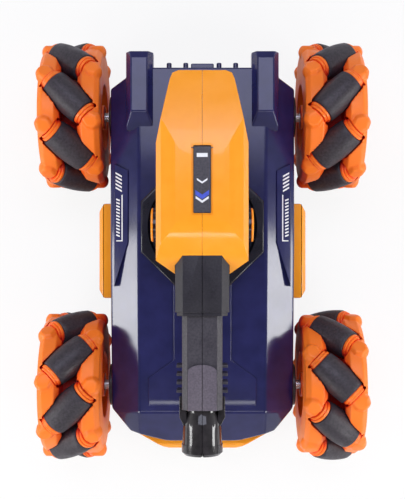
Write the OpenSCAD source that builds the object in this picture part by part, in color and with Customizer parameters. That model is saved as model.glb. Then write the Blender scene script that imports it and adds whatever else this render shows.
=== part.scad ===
/* [Wheels] */
// Diameter over the rollers
wheel_d = 98; // [94:1:104]
// Width of a hub over its lugs
wheel_w = 43; // [42:0.5:45]
// Gap between a wheel and the gearbox nose beside it
wheel_gap = 1.4; // [1:0.2:4]
// Distance between the front and rear axles
wheelbase = 176; // [172:1:180]
// Diameter of a drive shaft
shaft_d = 6; // [5:0.5:7]

/* [Rollers] */
// Largest diameter of a roller's rubber sleeve
roller_d = 20; // [19:0.2:20.2]
// Length of the rubber sleeve
sleeve_len = 27.2; // [24:0.2:28]
// Bore of the rubber sleeve
sleeve_bore = 10; // [8:0.5:11]
// Thickness of the core's end flange
flange_t = 2; // [1.5:0.1:2.4]
// Thickness of the smaller ring outside the flange
collar_t = 1.6; // [1.2:0.1:2]
// Diameter of the roller's pivot pins
pin_d = 4; // [3:0.25:4.5]

/* [Body] */
// Width of the body across its sides
body_w = 117; // [115:0.5:118]
// Distance from the middle to the rear edge of the deck
body_rear = 114.8; // [112:0.2:118]
// Distance from the middle to the tip of the nose
body_nose = 123.8; // [122:0.2:127]
// Height of the deck over the axles
deck_rise = 35; // [34:0.5:38]
// Depth of the chassis floor under the axles
floor_drop = 27; // [26:0.5:30]
// Wall of the body mouldings
wall = 2; // [1.6:0.1:2.4]
// Fall of the side decks from the crease to the side
side_fall = 11; // [9:0.5:12]
// Distance of the side crease from the middle
crease_x = 40; // [39.5:0.5:42]
// Fall of the hood from the turret to the front crease
hood_fall = 10; // [8:0.5:11]
// Height of the rear pods over the deck
pod_rise = 7; // [5:0.5:8]
// Overhang of the rear pods behind the deck
pod_overhang = 9; // [6:0.5:11]
// How far the side bumpers stand out
side_bumper_out = 9.2; // [6:0.2:11]
// Length of a side bumper
side_bumper_len = 61.6; // [50:0.2:66]
// How far the front bumper stands out of the nose
front_bumper_out = 7; // [4:0.5:8]

/* [Running gear] */
// Diameter of the gearbox nose round the shaft
nose_d = 27; // [24:0.5:27]
// Width of a gearbox along the axle
gearbox_w = 21; // [18:0.5:23]
// Diameter of a motor can
motor_d = 20; // [18:0.5:21]
// Length of a motor can
motor_len = 25; // [22:0.5:26]
// Width of the battery pack
battery_w = 42; // [36:1:43]
// Length of the battery pack
battery_len = 62; // [50:1:66]
// Length of the battery door
door_len = 70; // [68:1:74]

/* [Turret] */
// Turret axis behind the middle of the car
turret_y = 15; // [12:0.5:18]
// Width of the eight-sided turret ring
ring_w = 76.6; // [75:0.2:77.4]
// Height of the turret ring over the deck
ring_rise = 4.5; // [3:0.5:6]
// Height of the elevation axis over the deck
trunnion_rise = 36; // [35:0.5:39]
// Thickness of a yoke cheek
cheek_t = 1.6; // [1.4:0.1:2.2]
// Diameter of a trunnion
trunnion_d = 10; // [8:0.5:12]
// Diameter of the cap on a trunnion
cap_d = 20; // [18:0.5:22]

/* [Gun] */
// Width of the gun shell
gun_w = 53.4; // [51:0.2:55]
// Length of the gun shell behind the turret axis
gun_back = 89.3; // [88:0.1:93]
// Height of the gun's top over the elevation axis
gun_top = 23; // [22.5:0.5:26]
// Wall of the gun shell
gun_wall = 2; // [1.6:0.1:2.4]
// Width of the ammunition hatch
hatch_w = 9.7; // [8.5:0.1:11]
// Length of the ammunition hatch
hatch_len = 38.3; // [34:0.1:40]
// Width of the barrel collar
collar_w = 31.4; // [30:0.2:33]
// Width of the barrel tube
tube_w = 23.6; // [22:0.2:25]
// Distance from the elevation axis to the muzzle
muzzle_reach = 135.2; // [130:0.1:142]
// Bore of the inner barrel
bore_d = 9; // [8:0.5:10]
// Diameter of the firing piston
piston_d = 12; // [11:0.25:12.5]
// Travel of the firing piston
piston_travel = 16; // [12:0.5:17]
// Wire of the piston spring
wire_d = 1; // [0.8:0.05:1.1]

/* [Hidden] */
$fn = 48;
eps = 0.01;
// Gap of a running fit on the radius
run = 0.05;
// Gap between a moving piece and its neighbour
clear = 0.3;
// Gap between the two halves of a split moulding
parting = 0.04;

// Name, side of the car, end of the car and turn of the first roller towards the front
WHEELS = [
  ["front_left", 1, -1, -13],
  ["front_right", -1, -1, -30],
  ["rear_left", 1, 1, -12],
  ["rear_right", -1, 1, -11]
];
roller_count = 8;
roller_tilt = 45;

// Wheel
wheel_r = wheel_d / 2;
axle_z = wheel_r;
axle_y = wheelbase / 2;
roller_r = roller_d / 2;
roller_ring_r = wheel_r - roller_r;
flange_step = 2;
collar_step = 0.9;
flange_r = roller_r - flange_step;
collar_r = flange_r - collar_step;
roller_half = sleeve_len / 2 + flange_t + collar_t;
pin_len = 4.6;
pocket_gap = 0.8;
pocket_taper = 1.2;
lug_r = 6;
lug_len = 9.6;
lug_cut = 2.2;
lug_top_r = wheel_r - 2.5;
band_r = wheel_r - 4.8;
band_in = 5.5;
band_out = wheel_w / 2 - 2.2;
drum_r = roller_ring_r - roller_r - 3;
dish_r = drum_r - 4.5;
dish_floor = wheel_w / 2 - 9.5;
web_t = 4;
boss_r = shaft_d / 2 + 5;
boss_face = dish_floor + 1.5;
shaft_flat = shaft_d / 2 - 0.8;
nut_r = shaft_d / 2 + 1.8;
nut_t = 2.6;

// Body heights
floor_z = axle_z - floor_drop;
deck_z = axle_z + deck_rise;
hood_z = deck_z - hood_fall;
nose_z = axle_z + 9;
side_half = body_w / 2;
hood_y = 0;
front_crease_y = 20.8 - body_nose;
rear_corner = [48.7, body_rear - 5.9];
rear_end_x = 44;
side_rear_y = body_rear - 11.9;
side_front_y = 22.5 - body_nose;
nose_corner = [46.8, 6.9 - body_nose];
nose_bend = [42.6, 5.6 - body_nose];
nose_edge = [24.6, 0.4 - body_nose];
tub_slope_z = axle_z - 13;
tub_slope_run = 14;

// Bumpers
front_bumper_h = 12;
side_bumper_h = 16;

// Rear pods, seen across the car
pod_in = 30.8;
pod_out = 47.8;
pod_slope = 3.4;
pod_depth = 16;
pod_front_y = body_rear - 29.4;
pod_ramp = 10;
pod_rear_y = body_rear + pod_overhang;
pod_end_cut = 4.2;
pod_lip = 1.6;

// Side panels and hood spine
panel_lift = 2.4;
panel_rear = 55;
panel_front = -23;
panel_in = side_half - 11.8;
panel_out = side_half - 2.6;
spine_half = 18.2;
spine_flare = 34.2;
spine_lift = 0.9;
spine_rear = -18;
spine_bend = -69;
spine_end = -80.6;
spine_ramp = 9;
spine_toe = 4;

// Rear pegs and tab
peg_r = 1.6;
peg_out = 3.7;
peg_x = [10.5, 21];
peg_z = deck_z - 6;
tab_half = 7.2;
tab_out = 3;
tab_h = 6;

// Screws through the floor into the shell
screw_r = 1.5;
screw_head_r = 2.6;
screw_head_h = 2.2;
post_r = 4;
screw_sink = 3;
screw_bite = 9;
SCREWS = [
  [side_half - 12.5, 40], [side_half - 12.5, -40],
  [20, body_rear - 9], [20, 16 - body_nose]
];

// Gearboxes and motors
nose_len = 2.1;
nose_out = side_half + nose_len;
wheel_x = nose_out + wheel_gap + wheel_w / 2;
gearbox_out = side_half - wall - 0.2;
gearbox_in = gearbox_out - gearbox_w;
gearbox_end = 12.5;
gearbox_back = 31;
gearbox_low = nose_d / 2 + 0.3;
gearbox_high = nose_d / 2 - 0.5;
motor_flat = motor_d * 0.77;
motor_y = axle_y - 20;
motor_boss_r = 3;
motor_boss_h = 1.2;
shaft_in = gearbox_in + 4;

// Battery bay
door_half = battery_w / 2 + 0.8;
door_front = -door_len / 2;
door_t = wall;
hinge_r = 1.2;
hinge_z = floor_z + door_t;
hinge_pin = 3;
bay_half = door_half + clear;
bay_front = door_front - door_t - clear;
bay_rear = door_front + door_len + clear;
battery_h = 17;
battery_z = floor_z + door_t + clear;
cell_count = 3;
ear_t = hinge_pin + 1.4;
hinge_reach = door_half + hinge_pin + 0.2;

// Power switch
switch_x = -(side_half - 17);
switch_w = 4.6;
switch_len = 7;
switch_travel = 5;
switch_h = 4.5;
switch_sink = 0.6;

// Circuit board on four posts
board_half = 28;
board_t = 1.6;
board_len = 50;
board_rear = turret_y + 40;
board_z = battery_z + battery_h + 3;
board_post_x = board_half - 2.5;
board_post_in = 4;
board_post_r = 2.4;
chip_w = 12;
chip_h = 2;
capacitor_r = 3.2;
capacitor_h = 8;
capacitor_in = 8;

// Turret base, table and gear
ring_half = ring_w / 2;
ring_band = 4.3;
table_r = ring_half - ring_band - 0.4;
ring_top = deck_z + ring_rise;
base_floor = 2.5;
base_z = deck_z - 8;
base_lip = 2.6;
neck_r = 18;
cable_r = 8;
gear_mod = 1;
gear_teeth = 44;
pinion_teeth = 12;
gear_t = 5.5;
gear_z = base_z - clear - gear_t;
gear_gap = gear_mod * (gear_teeth + pinion_teeth) / 2;
pinion_y = turret_y - gear_gap;
bracket_t = 2;
bracket_z = gear_z - clear - bracket_t;
bracket_half = motor_d / 2 + 3;
motor_shaft_r = 1;
table_z = base_z + base_floor + clear;
table_top = ring_top - 1;

// Elevation axis and yoke cheeks
trunnion_z = deck_z + trunnion_rise;
gun_half = gun_w / 2;
cheek_in = gun_half + clear;
cheek_out = cheek_in + cheek_t;
cap_in = cheek_out + 0.2;
cap_t = 1.2;
cheek_top_r = cap_d / 2 - 0.8;
cheek_foot = 14;

// Gun shell, seen from above and from the side
gun_rear_y = turret_y + gun_back;
gun_rear_half = 18.7;
gun_wide = 47;
gun_shoulder = 21;
gun_reach = 29;
gun_wide_y = turret_y + gun_wide;
gun_shoulder_y = turret_y - gun_shoulder;
gun_front_y = turret_y - gun_reach;
gun_front_half = collar_w / 2;
gun_top_z = trunnion_z + gun_top;
gun_brow_y = turret_y - 2;
gun_lip_y = turret_y - 18.5;
gun_lip_z = gun_top_z - 7;
gun_brow_front_z = trunnion_z + 6;
gun_tail_top_z = gun_top_z - 11;
gun_tail_low_z = trunnion_z - 4;
gun_low_z = trunnion_z - 18;
gun_low_rear_y = turret_y + 8;
gun_chin_z = trunnion_z - 13;
top_half = 15.4;
tail_round = 5;
top_in = 3;
top_bevel = 3.6;
top_round = 8;
low_cut = 7;

// Hatch in the top of the gun shell
hatch_t = 2.5;
hatch_front = turret_y + 6.3;
hatch_rear = hatch_front + hatch_len;
hatch_pin_r = 0.8;
hatch_pin = 1.5;
hatch_gap = 0.25;
hatch_axis = [hatch_rear - hatch_t / 2, gun_top_z - hatch_t / 2];
frame_rim = 1.4;
frame_deep = 0.5;
ledge = 1.6;
shelf_z = trunnion_z + 9.6;
shelf_t = 1.5;

// Barrel along the car
collar_top_half = collar_w / 2 - 4.4;
tube_top_half = tube_w / 2 - 3;
collar_rear_y = turret_y - 10;
collar_len = 43;
collar_front_y = collar_rear_y - collar_len;
collar_cut = 2;
muzzle_y = turret_y - muzzle_reach;
muzzle_ring = 6.3;
muzzle_r = 12.1;
throat_r = 9.5;
throat_len = 2.5;
funnel_len = 9;
nozzle_len = 27.3;
nozzle_y = muzzle_y + nozzle_len;
wing_out = 1.6;
wing_in = 2;
wing_half = 6;
wing_rear_y = nozzle_y + 7.6;
wing_front_y = nozzle_y - 4.9;
wing_tip_y = nozzle_y - funnel_len - 0.7;
rib_count = 4;
rib_t = 1.7;
rib_out = 3.2;
rib_pitch = 4.9;
rib_front_y = nozzle_y + 9.6;
plate_rise = 1.2;
plate_half = 8.4;
plate_len = 22.4;
plate_arc = 4.3;
inner_wall = 1.1;
inner_rear_y = collar_rear_y + 2;
notch_w = 1.6;
notch_deep = 2.4;

// Breech with its piston, behind the collar
breech_r = piston_d / 2 + 2.4;
breech_end_y = turret_y + 33;
breech_wall = 2.4;
piston_front_y = collar_rear_y + 8;
piston_len = 8;
rod_r = 2.2;
spring_r = piston_d / 2 - wire_d / 2 - 0.3;
spring_turns = 7;
spring_rings = 8;
spring_sides = 6;
spring_y = piston_front_y + piston_len + 0.1;
spring_end_y = breech_end_y - breech_wall - 0.1;
rod_tip_y = breech_end_y + 0.5;
port_r = bore_d / 2;

// Firing motor on two ribs in the tail
firing_y = breech_end_y + piston_travel + 2;
firing_z = trunnion_z + 3.6;
firing_rib = 2;

function roller_name(w, k) = str("roller_", w[0], "_", k);
// The rollers lean so that those on top of the four wheels point to the middle of the car
function hand(w) = -w[1] * w[2];
function roller_angle(w, k) = (w[1] > 0 ? 180 : 0) + w[1] * (w[3] + (k - 1) * 360 / roller_count);
function sign_of(v) = v < 0 ? -1 : 1;
function inset(points, d) = [for (p = points) [p[0] - sign_of(p[0]) * d, p[1] - sign_of(p[1]) * d]];
function reversed(points) = [for (i = [len(points) - 1:-1:0]) points[i]];
function mirrored(points) = concat(points, [for (p = reversed(points)) [-p[0], p[1]]]);

// Solid through rings of points that go the same way round
module loft(rings) {
  n = len(rings[0]);
  last = len(rings) - 1;
  sides = [for (i = [0:last - 1]) for (j = [0:n - 1]) each
    let (a = i * n + j, b = i * n + (j + 1) % n) [[a, b, b + n], [a, b + n, a + n]]];
  caps = [[for (j = [n - 1:-1:0]) j], [for (j = [0:n - 1]) last * n + j]];
  polyhedron(points = [for (r = rings) each r], faces = concat(sides, caps));
}

// Outline seen across the car, drawn along Y between two places
module along_y(y0, y1) {
  translate([0, y1, 0]) rotate([90, 0, 0]) linear_extrude(y1 - y0) children();
}

// Outline seen from the side, with Y to the right, drawn across the car
module across_x(x0, x1) {
  translate([x0, 0, 0]) rotate([90, 0, 90]) linear_extrude(x1 - x0) children();
}

// Round bar along X between two places
module bar_x(x0, x1, r) {
  translate([x0, 0, 0]) rotate([0, 90, 0]) cylinder(r = r, h = x1 - x0);
}

// Round bar along Y between two places, with its axis at a height
module bar_y(y0, y1, r, z) {
  translate([0, y1, z]) rotate([90, 0, 0]) cylinder(r = r, h = y1 - y0);
}

module octagon(half, h) {
  rotate([0, 0, 22.5]) cylinder(r = half / cos(22.5), h = h, $fn = 8);
}

// Places one wheel with its own +Z pointing away from the car
module at_wheel(w) {
  translate([w[1] * wheel_x, w[2] * axle_y, axle_z]) rotate([0, w[1] * 90, 0]) children();
}

// Places one roller in its wheel with its own axis along +Z
module at_roller(w, k) {
  rotate([0, 0, roller_angle(w, k)]) translate([roller_ring_r, 0, 0])
    rotate([-hand(w) * roller_tilt, 0, 0]) children();
}

module roller(w, k) {
  belly_r = roller_ring_r / pow(sin(roller_tilt), 2);
  at_wheel(w) at_roller(w, k) {
    color([0.16, 0.16, 0.17]) rotate_extrude() intersection() {
      translate([roller_r - belly_r, 0]) circle(r = belly_r, $fn = 180);
      translate([sleeve_bore / 2 + run, parting - sleeve_len / 2])
        square([roller_d, sleeve_len - 2 * parting]);
    }
    color([0.96, 0.45, 0.1]) rotate_extrude() polygon(roller_core_profile());
  }
}

function roller_core_profile() = let (a = sleeve_len / 2, b = a + flange_t, c = roller_half)
  let (side = [[sleeve_bore / 2, a], [flange_r, a], [flange_r, b], [collar_r, b], [collar_r, c],
               [pin_d / 2, c], [pin_d / 2, c + pin_len], [0, c + pin_len]])
  concat(reversed([for (p = side) [p[0], -p[1]]]), side);

// Pocket round a roller, with the holes for its pins
function pocket_profile() = let (a = sleeve_len / 2 + pocket_gap, c = roller_half + 0.1, e = c + pin_len + 0.2,
    r = roller_r + pocket_gap, f = flange_r + pocket_gap, p = pin_d / 2 + run)
  let (side = [[r - pocket_taper, a], [f, a], [f, c], [p, c], [p, e], [0, e]])
  concat(reversed([for (q = side) [q[0], -q[1]]]), [[r, 0]], side);

module shaft_section(gap) {
  intersection() {
    circle(r = shaft_d / 2 + gap);
    translate([-shaft_d, -shaft_d]) square([shaft_d + shaft_flat + gap, 2 * shaft_d]);
  }
}

// Drum with two bands of lugs, one lug at each end of each roller
module hub_blank(w) {
  intersection() {
    cylinder(r = lug_top_r, h = wheel_w, center = true);
    union() {
      cylinder(r = drum_r, h = 2 * band_out, center = true);
      for (s = [0, 1]) mirror([0, 0, s]) rotate_extrude() polygon([
        [drum_r - 1, band_in], [band_r - 3, band_in], [band_r, band_in + 3],
        [band_r, band_out - 3], [band_r - 3, band_out], [drum_r - 1, band_out]]);
      for (k = [1:roller_count]) at_roller(w, k) for (s = [0, 1]) mirror([0, 0, s])
        translate([0, 0, roller_half]) rotate_extrude() polygon([
          [0, 0], [lug_r, 0], [lug_r, lug_len - 2 * lug_cut], [lug_r - lug_cut, lug_len - 0.4 * lug_cut],
          [lug_r - 2 * lug_cut, lug_len], [0, lug_len]]);
    }
  }
}

module wheel_hub(w) {
  rib = 2;
  color([0.96, 0.45, 0.1]) at_wheel(w) {
    difference() {
      hub_blank(w);
      for (k = [1:roller_count]) at_roller(w, k) rotate_extrude() polygon(pocket_profile());
      difference() {
        translate([0, 0, dish_floor]) cylinder(r = dish_r, h = wheel_w);
        cylinder(r = boss_r, h = boss_face);
        for (i = [0:roller_count - 1]) rotate([0, 0, i * 360 / roller_count])
          translate([boss_r - 1, -rib / 2, 0]) cube([drum_r, rib, boss_face - 0.5]);
      }
      difference() {
        translate([0, 0, -wheel_w]) cylinder(r = dish_r, h = wheel_w + dish_floor - web_t);
        translate([0, 0, -band_out]) cylinder(r = boss_r, h = wheel_w);
      }
      linear_extrude(4 * wheel_w, center = true) shaft_section(run);
      difference() {
        cylinder(r = wheel_r, h = parting, center = true);
        cylinder(r = dish_r - 1, h = wheel_w, center = true);
      }
    }
  }
}

module drive_shaft(w) {
  inner = shaft_in - wheel_x;
  flat_from = -band_out;
  color([0.72, 0.73, 0.75]) at_wheel(w) {
    translate([0, 0, inner]) cylinder(r = shaft_d / 2, h = flat_from - inner + eps);
    translate([0, 0, flat_from]) linear_extrude(boss_face - flat_from) shaft_section(0);
    translate([0, 0, boss_face + parting]) cylinder(r = nut_r, h = nut_t, $fn = 6);
  }
}

function body_outline() = mirrored([
  [rear_end_x, body_rear], rear_corner, [side_half, side_rear_y], [side_half, side_front_y],
  nose_corner, nose_bend, nose_edge, [nose_edge[0] - 4, -body_nose]]);

// Ring of points across the body at one place, with the deck at one height
function body_ring(y, top, edge, d) = let (half = side_half - d, low = axle_z - (d > 0 ? 1 : 0)) [
  [-half, y, low], [-half, y, edge - 0.6 * d], [-crease_x, y, top - 1.16 * d],
  [crease_x, y, top - 1.16 * d], [half, y, edge - 0.6 * d], [half, y, low]];

// Upper body, drawn in by one wall for its inside
module body_form(d) {
  intersection() {
    loft([
      body_ring(body_rear - d, deck_z, deck_z - side_fall, d),
      body_ring(hood_y, deck_z, deck_z - side_fall, d),
      body_ring(front_crease_y, hood_z, hood_z - side_fall, d),
      body_ring(d - body_nose, nose_z, nose_z - 6, d)]);
    translate([0, 0, axle_z - 2 * wall]) linear_extrude(deck_rise + 4 * wall)
      polygon(inset(body_outline(), d));
  }
}

module pod() {
  side = [[pod_front_y - pod_ramp, deck_z - wall], [pod_front_y, deck_z + pod_rise],
          [pod_rear_y - pod_end_cut, deck_z + pod_rise], [pod_rear_y, deck_z + pod_rise - pod_lip],
          [pod_rear_y, deck_z + pod_rise - pod_depth], [pod_front_y, deck_z + pod_rise - pod_depth]];
  section = [[pod_in, deck_z - pod_depth], [pod_in, deck_z], [pod_in + pod_slope, deck_z + pod_rise],
             [pod_out - pod_slope, deck_z + pod_rise], [pod_out, deck_z], [pod_out, deck_z - pod_depth]];
  intersection() {
    across_x(0, side_half) polygon(side);
    along_y(0, pod_rear_y + wall) polygon(section);
  }
}

// Raised panel whose top is flatter than the side deck
module side_panel() {
  intersection() {
    linear_extrude(2 * deck_z) polygon([[panel_out, panel_rear], [panel_in, panel_rear - 4.4],
      [panel_in, panel_front + 28], [panel_out, panel_front]]);
    along_y(panel_front - wall, panel_rear + wall) polygon([
      [crease_x, deck_z], [side_half, deck_z - side_fall + panel_lift],
      [side_half, deck_z - side_fall - 1], [crease_x, deck_z - 1]]);
  }
}

// Low raised spine of the hood under the barrel
module hood_spine() {
  slope = -hood_fall / front_crease_y;
  intersection() {
    linear_extrude(2 * deck_z) polygon(mirrored([[spine_half, spine_rear], [spine_half, spine_bend],
      [spine_flare, spine_end], [spine_flare, front_crease_y + spine_toe]]));
    across_x(-side_half, side_half) polygon([
      [hood_y, deck_z - 1], [hood_y, deck_z + spine_lift],
      [front_crease_y + spine_ramp, hood_z + spine_ramp * slope + 0.8 * spine_lift],
      [front_crease_y + spine_toe, hood_z + spine_toe * slope], [front_crease_y, hood_z - 1]]);
  }
}

module rear_pegs() {
  for (s = [-1, 1]) for (x = peg_x) translate([s * x, 0, 0])
    bar_y(body_rear - wall, body_rear + peg_out, peg_r, peg_z);
  translate([0, 0, peg_z - tab_h / 2]) linear_extrude(tab_h) polygon(mirrored([
    [tab_half, body_rear - wall], [tab_half, body_rear + tab_out - 2],
    [tab_half - 1.6, body_rear + tab_out]]));
}

module at_screws() {
  for (s = [-1, 1]) for (p = SCREWS) translate([s * p[0], p[1], 0]) children();
}

module body_shell() {
  color([0.13, 0.13, 0.3]) difference() {
    union() {
      difference() {
        union() {
          body_form(0);
          for (s = [0, 1]) mirror([s, 0, 0]) {
            pod();
            side_panel();
          }
          hood_spine();
        }
        body_form(wall);
      }
      rear_pegs();
      intersection() {
        body_form(wall / 2);
        at_screws() translate([0, 0, axle_z]) cylinder(r = post_r, h = deck_rise);
      }
    }
    translate([0, turret_y, axle_z - 1]) octagon(ring_half + 0.15, 2 * deck_rise);
    at_screws() cylinder(r = screw_r + run, h = axle_z + screw_bite + 1);
    gearbox_noses(0.2);
    translate([-body_w, -2 * body_nose, 0]) cube([2 * body_w, 4 * body_nose, axle_z]);
  }
}

// Round gearbox noses where they pass through the sides of the body
module gearbox_noses(gap) {
  for (w = WHEELS) translate([0, w[2] * axle_y, axle_z]) mirror([w[1] > 0 ? 0 : 1, 0, 0])
    bar_x(gearbox_out - 2 * gap, nose_out, nose_d / 2 + gap);
}

// Lower body from the side, with its ends sloping up to the bumper and the rear wall
module tub_form(d) {
  base = floor_z + d;
  intersection() {
    translate([0, 0, base]) linear_extrude(axle_z - floor_z) polygon(inset(body_outline(), d));
    across_x(-body_w, body_w) polygon([
      [body_rear + 1 - d, axle_z + d], [body_rear + 1 - d, tub_slope_z], [body_rear - tub_slope_run, base],
      [tub_slope_run - body_nose, base], [d - 1 - body_nose, tub_slope_z], [d - 1 - body_nose, axle_z + d]]);
  }
}

module tub_posts() {
  intersection() {
    tub_form(0);
    at_screws() translate([0, 0, floor_z]) cylinder(r = post_r, h = axle_z - floor_z);
  }
  for (s = [-1, 1]) for (y = [board_rear - board_post_in, board_rear - board_len + board_post_in])
    translate([s * board_post_x, y, floor_z]) cylinder(r = board_post_r, h = board_z - floor_z);
}

// Blocks under the gearboxes and ears for the battery door's hinge
module tub_seats() {
  foot = 6;
  for (w = WHEELS) mirror([w[1] > 0 ? 0 : 1, 0, 0]) for (t = [gearbox_end - 7, foot - gearbox_back])
    translate([gearbox_in + 3, w[2] * (axle_y + t) - foot / 2, floor_z])
      cube([gearbox_w - 6, foot, axle_z - gearbox_low - floor_z]);
  for (s = [0, 1]) mirror([s, 0, 0]) translate([bay_half, door_front - 3, floor_z])
    cube([ear_t, 6, 6]);
}

module switch_slot(gap, h) {
  translate([switch_x - switch_w / 2 - gap, -switch_len / 2 - gap, floor_z - 1])
    cube([switch_w + 2 * gap, switch_len + switch_travel + 2 * gap, h]);
}

module chassis_tub() {
  color([0.1, 0.1, 0.12]) difference() {
    union() {
      difference() {
        tub_form(0);
        tub_form(wall);
      }
      tub_posts();
      tub_seats();
      translate([0, 0, 1]) switch_slot(2, wall + 3);
    }
    translate([-bay_half, bay_front, floor_z - 1]) cube([2 * bay_half, bay_rear - bay_front, wall + 2]);
    translate([0, door_front, hinge_z]) bar_x(-hinge_reach, hinge_reach, hinge_r + run);
    at_screws() {
      translate([0, 0, floor_z - 1]) cylinder(r = screw_r + run, h = axle_z);
      translate([0, 0, floor_z - 1]) cylinder(r = screw_head_r + 0.2, h = screw_sink + 1);
    }
    switch_slot(0.25, 2 * floor_drop);
    gearbox_noses(0.2);
  }
}

module front_bumper() {
  end_x = nose_bend[0] + 2;
  end_y = nose_bend[1] + 3;
  tip_y = -body_nose - front_bumper_out;
  cut = front_bumper_h / 4;
  low = tub_slope_z;
  high = low + front_bumper_h;
  color([0.98, 0.5, 0.12]) difference() {
    intersection() {
      translate([0, 0, low]) linear_extrude(front_bumper_h) polygon(mirrored([
        [end_x, end_y], [end_x, nose_bend[1] - 1.2],
        [nose_edge[0] + 1.5, tip_y + 1], [nose_edge[0] - 2.6, tip_y]]));
      across_x(-body_w, body_w) polygon([
        [end_y + 1, low], [tip_y + cut, low], [tip_y, low + cut], [tip_y, high - cut],
        [tip_y + cut, high], [end_y + 1, high]]);
    }
    translate([0, 0, floor_z]) linear_extrude(axle_z) polygon(body_outline());
  }
}

module side_bumper() {
  half = side_bumper_len / 2;
  out = side_half + side_bumper_out;
  end_cut = 5;
  edge_cut = 4;
  low = axle_z - side_bumper_h / 2;
  high = axle_z + side_bumper_h / 2;
  intersection() {
    linear_extrude(2 * axle_z) polygon([
      [side_half, -half], [out - 0.7 * end_cut, -half], [out, end_cut - half],
      [out, half - end_cut], [out - 0.7 * end_cut, half], [side_half, half]]);
    along_y(-half - 1, half + 1) polygon([
      [side_half, low], [out - 0.6 * edge_cut, low], [out, low + edge_cut],
      [out, high - edge_cut], [out - 0.6 * edge_cut, high], [side_half, high]]);
  }
}

module side_bumpers() {
  color([0.98, 0.5, 0.12]) for (s = [0, 1]) mirror([s, 0, 0]) side_bumper();
}

module gearbox() {
  difference() {
    union() {
      translate([gearbox_in, -gearbox_back, -gearbox_low])
        cube([gearbox_w, gearbox_back + gearbox_end, gearbox_low + gearbox_high]);
      bar_x(gearbox_out - eps, nose_out, nose_d / 2);
    }
    bar_x(shaft_in - 0.2, nose_out + 1, shaft_d / 2 + run);
  }
}

module gearbox_housings() {
  color([0.12, 0.12, 0.13]) for (w = WHEELS) translate([0, w[2] * axle_y, axle_z])
    mirror([w[1] > 0 ? 0 : 1, 0, 0]) mirror([0, w[2] > 0 ? 0 : 1, 0]) gearbox();
}

// Motor can with two flats, standing on its rear end with its shaft upwards
module motor(shaft_len) {
  intersection() {
    cylinder(r = motor_d / 2, h = motor_len);
    translate([-motor_d, -motor_flat / 2, 0]) cube([2 * motor_d, motor_flat, motor_len]);
  }
  translate([0, 0, -motor_boss_h]) cylinder(r = motor_boss_r, h = motor_boss_h + eps);
  if (shaft_len > 0) translate([0, 0, motor_len - eps]) cylinder(r = motor_shaft_r, h = shaft_len);
}

module motors() {
  color([0.7, 0.7, 0.72]) {
    for (w = WHEELS) translate([w[1] * (gearbox_in - motor_len), w[2] * motor_y, axle_z])
      rotate([0, w[1] * 90, 0]) rotate([0, 0, 90]) motor(0);
    translate([0, pinion_y, bracket_z - motor_len]) motor(bracket_t + clear + gear_t);
  }
}

module battery_pack() {
  pitch = battery_w / cell_count;
  color([0.15, 0.35, 0.75]) along_y(-battery_len / 2, battery_len / 2)
    translate([0, battery_z]) {
      translate([-battery_w / 2 + pitch / 4, 0]) square([battery_w - pitch / 2, battery_h]);
      translate([-battery_w / 2, pitch / 4]) square([battery_w, battery_h - pitch / 2]);
      for (i = [-1, 1]) for (z = [pitch / 4, battery_h - pitch / 4])
        translate([i * (battery_w / 2 - pitch / 4), z]) circle(r = pitch / 4);
    }
}

module circuit_board() {
  color([0.1, 0.4, 0.2]) {
    translate([-board_half, board_rear - board_len, board_z]) cube([2 * board_half, board_len, board_t]);
    translate([-chip_w / 2, board_rear - board_len / 2 - chip_w / 2, board_z + board_t - eps])
      cube([chip_w, chip_w, chip_h]);
    for (s = [-1, 1]) translate([s * board_half * 0.6, board_rear - capacitor_in, board_z + board_t - eps])
      cylinder(r = capacitor_r, h = capacitor_h);
  }
}

// Screw standing on its head
module body_screws() {
  head_z = floor_z + screw_sink - screw_head_h;
  color([0.6, 0.6, 0.62]) at_screws() translate([0, 0, head_z]) difference() {
    union() {
      cylinder(r = screw_head_r, h = screw_head_h);
      cylinder(r = screw_r, h = axle_z + screw_bite - head_z);
    }
    for (a = [0, 90]) rotate([0, 0, a]) cube([3.4, 0.8, 2], center = true);
  }
}

// Door with a rounded hinge edge and two pivot pins
module battery_door() {
  color([0.12, 0.12, 0.13]) {
    difference() {
      translate([-door_half, door_front, floor_z]) cube([2 * door_half, door_len, door_t]);
      for (i = [0:4]) translate([-door_half * 0.6, door_front + door_len - 9 - 3 * i, floor_z - 1])
        cube([door_half * 1.2, 1.2, 1.6]);
    }
    translate([0, door_front, hinge_z])
      bar_x(-door_half - hinge_pin, door_half + hinge_pin, hinge_r);
  }
}

module power_switch() {
  color([0.85, 0.2, 0.15]) translate([switch_x, 0, floor_z + switch_sink]) difference() {
    translate([-switch_w / 2, -switch_len / 2, 0]) cube([switch_w, switch_len, switch_h]);
    for (y = [-2, 0, 2]) translate([0, y, 0]) cube([switch_w + 1, 0.8, 1], center = true);
  }
}

function gear_outline(teeth, turn) = [for (i = [0:teeth - 1]) each
  let (a = turn + i * 360 / teeth, pitch = 360 / teeth, r = gear_mod * teeth / 2)
  [for (p = [[-0.33, -1.15], [-0.2, 0], [-0.1, 0.8], [0.1, 0.8], [0.2, 0], [0.33, -1.15]])
    (r + p[1] * gear_mod) * [cos(a + p[0] * pitch), sin(a + p[0] * pitch)]]];

module turret_pinion() {
  color([0.85, 0.8, 0.65]) translate([0, pinion_y, gear_z]) linear_extrude(gear_t) difference() {
    polygon(gear_outline(pinion_teeth, 90 + 180 / pinion_teeth));
    circle(r = motor_shaft_r + run);
  }
}

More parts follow.
